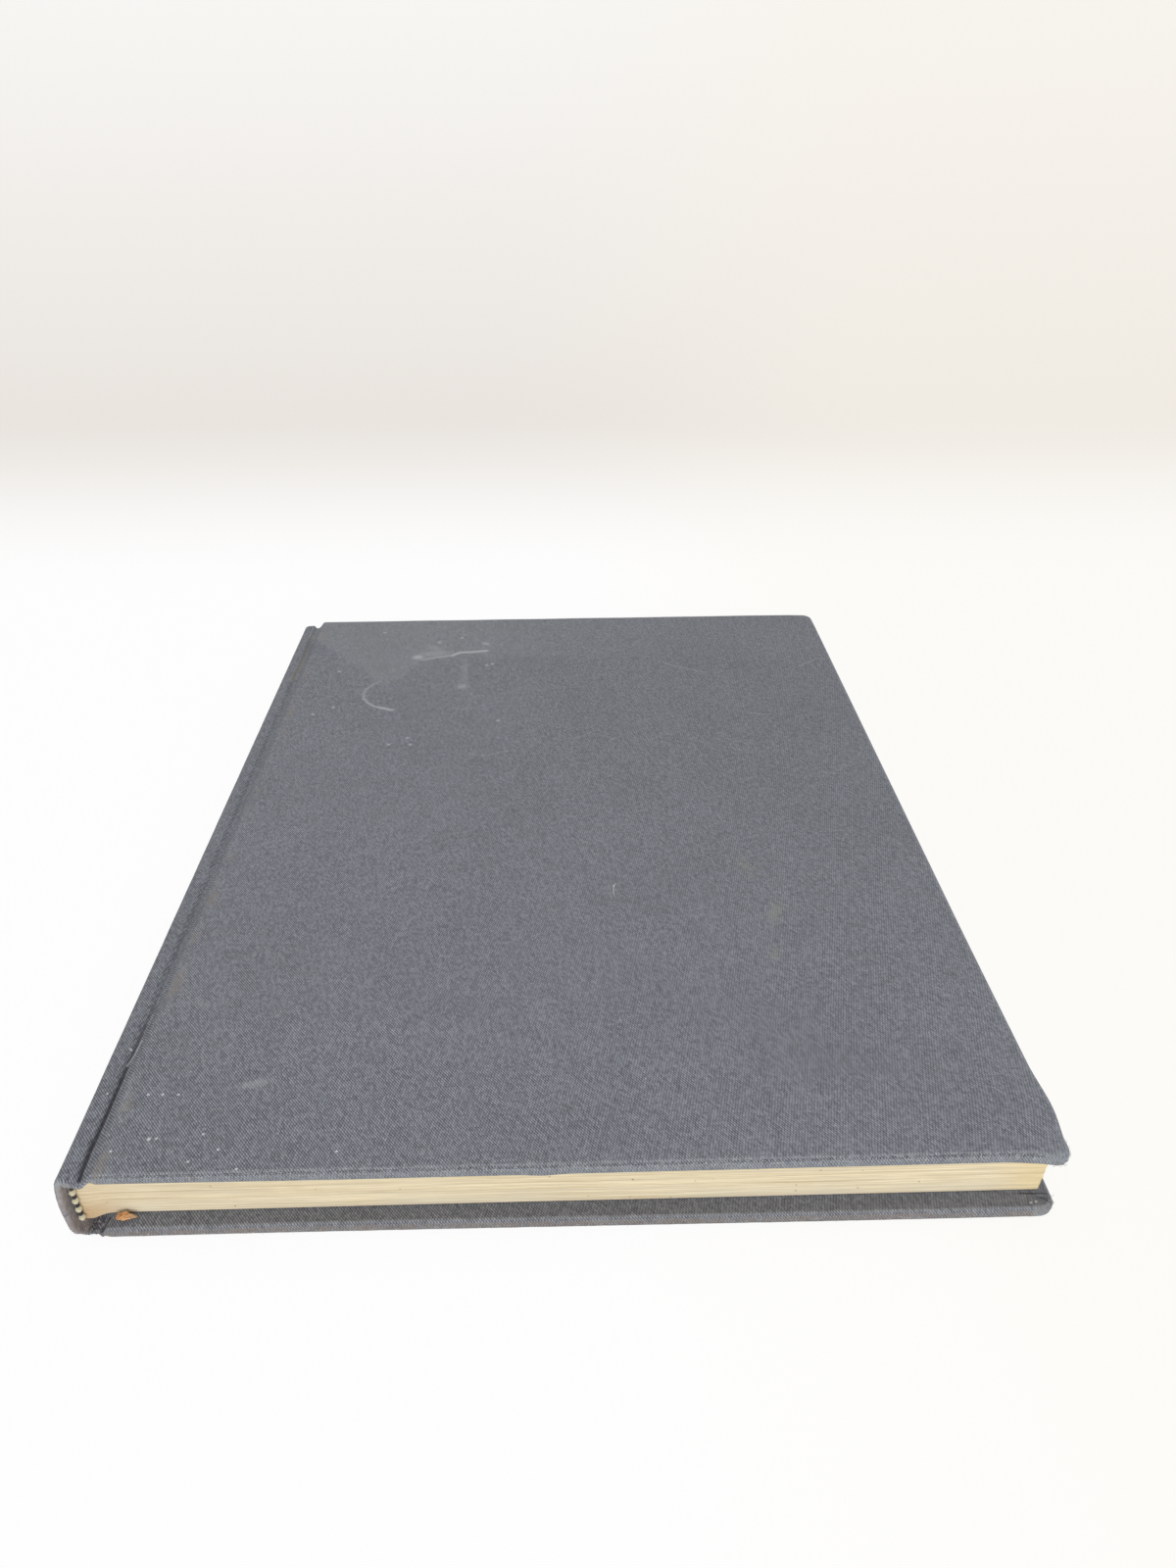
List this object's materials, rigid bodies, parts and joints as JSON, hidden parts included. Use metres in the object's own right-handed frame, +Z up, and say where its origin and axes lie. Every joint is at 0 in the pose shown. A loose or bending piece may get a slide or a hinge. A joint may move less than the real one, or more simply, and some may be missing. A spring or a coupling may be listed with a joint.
{
  "type": "hardcover book",
  "caption": "Closed cloth-bound hardcover book with boards, a sewn text block, endbands and covers that open.",
  "frame": {"origin": "middle of the book's box, at the table it lies on", "axes": "+X from the spine to the fore-edge, +Y from the tail to the head, +Z up through the front cover"},
  "size_m": [0.2363, 0.312, 0.022],
  "materials": {
    "book_cloth": "matt twill book cloth, worn",
    "board": "grey-brown millboard",
    "pages": "toned matt paper",
    "endpaper": "matt paper",
    "mull": "open starched cloth",
    "kraft_paper": "brown lining paper",
    "endband": "wound cotton",
    "dried_glue": "rough brown residue"
  },
  "bodies": {
    "block": {"text_block": "pages", "front_flyleaf": "endpaper", "back_flyleaf": "endpaper", "spine_mull": "mull", "spine_lining": "kraft_paper", "head_band": "endband", "tail_band": "endband", "glue_residue": "dried_glue", "spine_inlay": "board", "spine_cloth": "book_cloth"},
    "front_cover": {"front_board": "board", "front_cover_cloth": "book_cloth", "front_mull_flap": "mull", "front_pastedown": "endpaper"},
    "back_cover": {"back_board": "board", "back_cover_cloth": "book_cloth", "back_mull_flap": "mull", "back_pastedown": "endpaper"}
  },
  "joints": [
    {"name": "front_cover_hinge", "type": "hinge", "parent": "block", "child": "front_cover", "pos_m": [-0.11145, 0, 0.02165], "axis": [0, -1, 0], "range_deg": [0, 180]},
    {"name": "back_cover_hinge", "type": "hinge", "parent": "block", "child": "back_cover", "pos_m": [-0.11145, 0, 0.00035], "axis": [0, 1, 0], "range_deg": [0, 180]}
  ]
}
